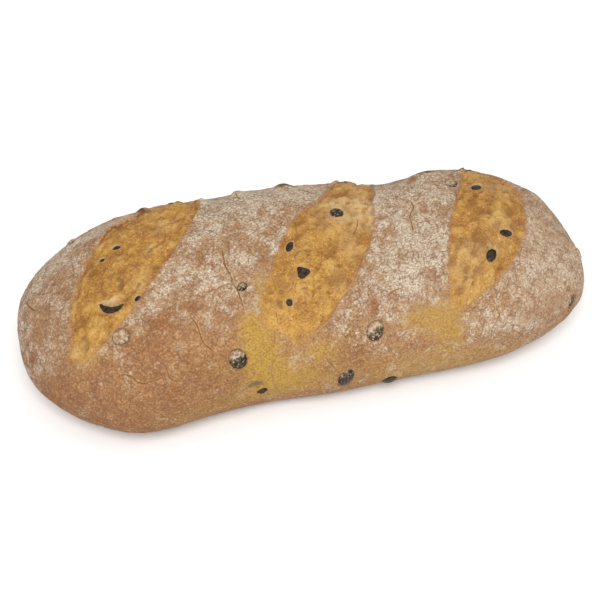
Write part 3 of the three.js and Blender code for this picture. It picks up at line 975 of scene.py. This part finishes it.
def flour_on(graph, crust, near_slash, gold, speckle):
    """Crust under a film and clumps of flour, and the pebbled grain that the flour follows."""
    floured = graph.times(graph.attribute("flour"), near_slash)
    crust = graph.tint(crust, floured, 0.85, FLOUR_FILM, clamp=True)
    pebbles = graph.cells(1.5, warp=0.8)
    cover = graph.math("MULTIPLY_ADD", floured, 1.7, -0.30)
    cover = graph.plus(cover, graph.math("MULTIPLY_ADD", pebbles, -0.9, 0.42))
    clumps = graph.noise(12, detail=3, roughness=0.6)
    cover = graph.plus(cover, graph.spread(clumps, 3.2))
    streaks = graph.noise(5, detail=3, roughness=0.6, stretch=(1.5, 0.85, 1.0), distortion=0.8)
    cover = graph.plus(cover, graph.spread(streaks, 4.0))
    cover = graph.times(graph.step(-0.3, 1.2, cover), 0.88)
    worn = graph.step(0.46, 0.34, graph.noise(6, detail=4, roughness=0.6))
    cover = graph.times(cover, graph.math("MULTIPLY_ADD", worn, -0.6, 1.0))
    cover = graph.times(cover, graph.step(0.9, 0.2, graph.attribute("gold")))
    haze = graph.times(graph.attribute("haze"), 0.7, clamp=True)
    even = graph.times(floured, 0.75)
    cover = graph.math("MULTIPLY_ADD", graph.math("SUBTRACT", even, cover), haze, cover)
    flour = graph.mix(graph.step(0.38, 0.62, speckle), FLOUR_DARK, FLOUR_LIGHT)
    crust = graph.mix(cover, crust, flour)
    pores = graph.times(graph.step(0.48, 0.37, graph.noise(0.9, detail=2)), 0.6)
    pores = graph.times(pores, graph.step(1.0, 0.0, haze))
    crust = graph.tint(crust, pores, graph.step(0.7, 0.2, gold), CRUST_PORE)
    return crust, pebbles


def crust_colour(graph, near_slash):
    """Baked crust under patchy flour. near_slash thins the flour beside the slashes."""
    patches = graph.noise(9, detail=4, roughness=0.6)
    mottle = graph.noise(3.2, detail=4, roughness=0.65)
    speckle = graph.noise(1.1, detail=3, roughness=0.65)
    toast = graph.math("MULTIPLY_ADD", patches, 1.6, -0.6)
    toast = graph.plus(toast, graph.spread(mottle, 1.4))
    toast = graph.plus(toast, graph.attribute("toast"))
    crust = graph.mix(graph.step(-0.4, 1.1, toast), CRUST_LIGHT, CRUST_TOASTED)
    crust = graph.tint(crust, graph.step(0.52, 0.66, speckle), 0.5, CRUST_GRAIN_LIGHT)
    crust = graph.tint(crust, graph.step(0.48, 0.34, speckle), 0.55, CRUST_GRAIN_DARK)
    gold = graph.times(graph.attribute("gold"), graph.step(0.1, 0.6, mottle))
    golden = graph.mix(graph.step(0.35, 0.65, speckle), GOLD_DARK, GOLD_LIGHT)
    crust = graph.mix(graph.step(0.05, 0.9, gold), crust, golden)
    crust, pebbles = flour_on(graph, crust, near_slash, gold, speckle)
    creases = graph.step(0.13, 0.0, graph.cells(3.4, 1.3, feature="DISTANCE_TO_EDGE"))
    creases = graph.times(creases, graph.step(0.40, 0.55, graph.noise(5, detail=2)))
    creases = graph.times(creases, graph.step(0.5, 0.1, gold))
    return graph.tint(crust, creases, 0.65, CRUST_CREASE), pebbles, speckle


def crumb_colour(graph):
    """Golden crumb that the slashes opened, and its grain."""
    patches = graph.noise(10, detail=5, roughness=0.65)
    warm = graph.math("MULTIPLY_ADD", graph.attribute("toast"), 0.2, patches)
    warm = graph.math("MULTIPLY_ADD", graph.attribute("gold"), -0.25, warm)
    crumb = graph.mix(graph.step(0.34, 0.64, warm), CRUMB_LIGHT, CRUMB_DARK)
    grain = graph.noise(1.0, detail=3, roughness=0.65)
    crumb = graph.tint(crumb, graph.step(0.5, 0.68, grain), 0.55, CRUMB_GRAIN_LIGHT)
    crumb = graph.tint(crumb, graph.step(0.5, 0.32, grain), 0.6, CRUMB_GRAIN_DARK)
    pale = graph.step(0.25, 0.6, graph.noise(3, detail=3))
    pale = graph.times(graph.attribute("pale"), pale)
    crumb = graph.tint(crumb, pale, 0.8, CRUMB_PALE, clamp=True)
    crumb = graph.tint(crumb, graph.step(0.16, 0.08, graph.cells(4.2, warp=0.5)), 0.6, CRUMB_DOT)
    specks = graph.step(0.68, 0.74, graph.noise(1.3, detail=1))
    return graph.tint(crumb, specks, 0.6, CRUMB_SPECK), grain


def add_slash_rims_and_shade(graph, base, ragged, soft):
    """The rims of the slashes, browned and darkened with painted shade, except where they run out
    softly.
    """
    rim = graph.times(graph.step(-1.8, 0.0, ragged), graph.step(1.0, 0.1, ragged))
    rim = graph.times(rim, graph.step(0.3, 0.6, graph.noise(3.0, detail=3)))
    rim = graph.times(rim, graph.step(0.7, 0.2, graph.attribute("gold")))
    rim = graph.times(rim, graph.step(1.5, 0.5, soft))
    # Browned crust and painted shade along the rims.
    return graph.tint(base, rim, 0.3, SLASH_RIM_AND_SHADE)


def add_painted_relief_light(graph, base):
    """Painted shade in the hollows and painted light on the ridges of the relief."""
    base = graph.tint(base, graph.step(0.1, -1.0, graph.attribute("fine")), 0.5, VALLEY_PAINTED_SHADE)
    return graph.tint(base, graph.step(0.1, 0.9, graph.attribute("fine")), 0.35, RIDGE_PAINTED_LIGHT)


def add_stains_and_flap_shade(graph, base):
    """Brown stains and grey-brown bruises with mottled edges, and dark flap edges that are partly
    burnt, partly painted shade.
    """
    mottle = graph.spread(graph.noise(2.0, detail=3), 1.6)
    brown = graph.step(0.25, 0.75, graph.plus(graph.attribute("stain"), mottle))
    base = graph.tint(base, brown, 0.7, STAIN)
    bruised = graph.step(0.25, 0.75, graph.plus(graph.attribute("bruise"), mottle))
    base = graph.tint(base, bruised, 0.75, BRUISE)
    # Dark flap edges, partly burnt and partly painted shade.
    return graph.tint(base, graph.step(1.1, 1.8, graph.attribute("stain")), 0.85, BURNT_AND_PAINTED_SHADE)


def add_cracks_and_their_shade(graph, base):
    """A web of hair cracks, and the cracks of the table with their pale lips and lines dark with
    their own brown and painted shade.
    """
    crazing = graph.step(0.035, 0.0, graph.cells(13, 0.5, feature="DISTANCE_TO_EDGE"))
    crazing = graph.times(crazing, graph.step(0.5, 0.6, graph.noise(8, detail=2)))
    base = graph.tint(base, crazing, 0.4, CRAZING)
    wander = graph.spread(graph.noise(1.8, detail=4), 1.6)
    line = graph.math("ABSOLUTE", graph.plus(graph.attribute("crack"), wander))
    dark = graph.attribute("crack_dark")
    lip = graph.step(1.3, 0.7, line)
    base = graph.tint(base, lip, graph.times(dark, 0.3), CRACK_LIP)
    # The crack line, darkened with its own brown and painted shade.
    crevice_brown_and_shade = graph.times(graph.step(0.5, 0.15, line), dark)
    return graph.tint(base, crevice_brown_and_shade, 0.9, CRACK_BROWN_AND_SHADE)


def bread_material():
    """Floured crust and golden crumb, told apart by the distance inside the slashes."""
    graph = Graph("bread")
    fringe = graph.spread(graph.noise(5.0, detail=5, roughness=0.6), 5.5)
    ragged = graph.plus(graph.attribute("slash"), fringe)
    soft = graph.attribute("soft")
    edge = (graph.math("SUBTRACT", -SLASH_BLUR, soft), graph.plus(SLASH_BLUR, soft))
    in_slash = graph.step(*edge, ragged)
    near_slash = graph.math("MULTIPLY_ADD", graph.step(-2.4, -0.2, ragged), -0.45, 1.0)
    crust, pebbles, speckle = crust_colour(graph, near_slash)
    crumb, grain = crumb_colour(graph)

    base = graph.mix(in_slash, crust, crumb)
    base = add_slash_rims_and_shade(graph, base, ragged, soft)
    # Painted shade in the hollows of the relief and painted light on its ridges.
    base = add_painted_relief_light(graph, base)
    base = add_stains_and_flap_shade(graph, base)
    base = add_cracks_and_their_shade(graph, base)
    halo = graph.step(0.65, 0.1, graph.attribute("olive"))
    base = graph.tint(base, halo, 0.4, graph.mix(in_slash, OLIVE_HALO_CRUST, OLIVE_HALO_CRUMB))
    # Darker near the board: the baked sole's brown and painted shade.
    base = graph.tint(base, graph.attribute("low"), 0.5, SOLE_BROWN_AND_SHADE)

    outside = graph.math("SUBTRACT", 1.0, in_slash)
    sunken = graph.times(pebbles, graph.times(outside, -1.0))
    relief = graph.bump(sunken, PEBBLE_RELIEF)
    relief = graph.bump(graph.mix(in_slash, speckle, grain), GRAIN_RELIEF, normal=relief)
    return graph.finished({
        "Base Color": base,
        "Roughness": graph.mix(in_slash, grey(CRUST_ROUGHNESS), grey(CRUMB_ROUGHNESS)),
        "Specular IOR Level": BREAD_SPECULAR,
        "Normal": relief,
    })


def olive_material():
    """Dark wrinkled skin under as much flour as the "dust" of the mesh says, with bright specks that
    are flour and painted glints.
    """
    graph = Graph("olive")
    tone = graph.noise(2.2, detail=3)
    base = graph.mix(graph.step(0.35, 0.65, tone), OLIVE_DARK, OLIVE_LIGHT)
    dust = graph.spread(graph.noise(2.4, detail=4, roughness=0.65), 2.4)
    dust = graph.plus(dust, graph.spread(graph.attribute("dust"), 1.2))
    grains = graph.step(0.35, 0.65, graph.noise(1.8, detail=3))
    powder = graph.mix(grains, OLIVE_POWDER_DARK, OLIVE_POWDER_LIGHT)
    crusted = graph.mix(graph.step(0.4, 0.65, tone), OLIVE_CRUSTED_DARK, OLIVE_CRUSTED_LIGHT)
    powder = graph.mix(graph.step(0.9, 1.2, graph.attribute("dust")), powder, crusted)
    base = graph.mix(graph.step(0.0, 0.7, dust), base, powder)
    # Bright specks where flour lies: flour specks and painted glints.
    specks = graph.step(0.60, 0.66, graph.noise(0.9, detail=1))
    specks = graph.times(specks, graph.step(-0.9, 0.2, dust))
    base = graph.tint(base, specks, 0.7, OLIVE_FLOUR_SPECK_AND_GLINT)
    return graph.finished({
        "Base Color": base,
        "Roughness": OLIVE_ROUGHNESS,
        "Specular IOR Level": OLIVE_SPECULAR,
        "Normal": graph.bump(graph.noise(0.9, detail=3), SKIN_RELIEF),
    })


def floor_material():
    surface = {"Base Color": grey(FLOOR_TONE), "Roughness": FLOOR_ROUGHNESS}
    return Graph("floor").finished(surface)


# ---- Olives ----

# The squares of an olive's mesh: how small at the least, and how many along its longest side.
FINEST_SKIN = 0.22
SKIN_SQUARES = 36


def make_olive(name, material):
    """The wrinkled finish of one olive piece, on the shape the frame gives it."""
    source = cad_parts[name]
    low, high = (np.array(corner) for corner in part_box(name))
    olive = bpy.data.objects.new(name.replace("olive_", "olive_skin_"), source.data.copy())
    bpy.context.scene.collection.objects.link(olive)
    longest = float(np.max(high - low)) / MM
    make_even(olive, max(FINEST_SKIN, longest / SKIN_SQUARES))
    smooth = olive.modifiers.new("soften", "SMOOTH")
    smooth.factor = 0.5
    smooth.iterations = 6
    apply_modifiers(olive)
    mesh = olive.data
    points = vertex_points(mesh)
    height = 0.28 * fractal(points, 3.2, 2, seed=81) + 0.08 * fractal(points, 1.1, 2, seed=84)
    move_vertices(mesh, points + vertex_normals(mesh) * height[:, None])
    exposed = (points - points.mean(0)) @ FLOUR_SIDE
    dusted = 0.5 * exposed / np.max(np.abs(exposed)) + FLOURED_OLIVES.get(name, UNFLOURED)
    add_attribute(mesh, "dust", dusted)
    give_material(mesh, material)
    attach(olive, "root")
    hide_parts(name)


# ---- Stage ----

def look_at(thing, target):
    """Turns a camera or light to face a place."""
    direction = target - thing.location
    thing.rotation_euler = direction.to_track_quat("-Z", "Y").to_euler()


def make_camera():
    """The camera, on the arc given by its azimuth, elevation and distance."""
    data = bpy.data.cameras.new("camera")
    data.lens = CAMERA_LENS
    data.sensor_width = SENSOR_WIDTH
    camera = bpy.data.objects.new("camera", data)
    bpy.context.scene.collection.objects.link(camera)
    azimuth = math.radians(CAMERA_AZIMUTH)
    elevation = math.radians(CAMERA_ELEVATION)
    target = Vector(CAMERA_TARGET) * MM
    away = Vector((
        math.sin(azimuth) * math.cos(elevation),
        -math.cos(azimuth) * math.cos(elevation),
        math.sin(elevation),
    ))
    camera.location = target + away * (CAMERA_DISTANCE * MM)
    look_at(camera, target)
    bpy.context.scene.camera = camera


def make_area_light(name, location, size, power):
    data = bpy.data.lights.new(name, "AREA")
    data.shape = "DISK"
    data.size = size
    data.energy = power
    light = bpy.data.objects.new(name, data)
    bpy.context.scene.collection.objects.link(light)
    light.location = location
    look_at(light, Vector(LIGHT_TARGET))


def make_stage():
    """A plain pale floor under soft light from above and all around."""
    corners = np.array([(-1, -1, 0), (1, -1, 0), (1, 1, 0), (-1, 1, 0)]) * FLOOR_REACH
    floor = mesh_object("floor", corners, [(0, 1, 2, 3)])
    floor.data.materials.append(floor_material())
    world = bpy.data.worlds.new("studio")
    world.use_nodes = True
    background = world.node_tree.nodes["Background"]
    background.inputs["Color"].default_value = grey(1.0)
    background.inputs["Strength"].default_value = SURROUND_STRENGTH
    bpy.context.scene.world = world
    for light in LIGHTS:
        make_area_light(*light)


make_camera()
make_bread()
olive_finish = olive_material()
for node_name in OLIVE_NODES:
    make_olive(node_name, olive_finish)
make_stage()
bpy.context.scene.view_settings.view_transform = "Standard"
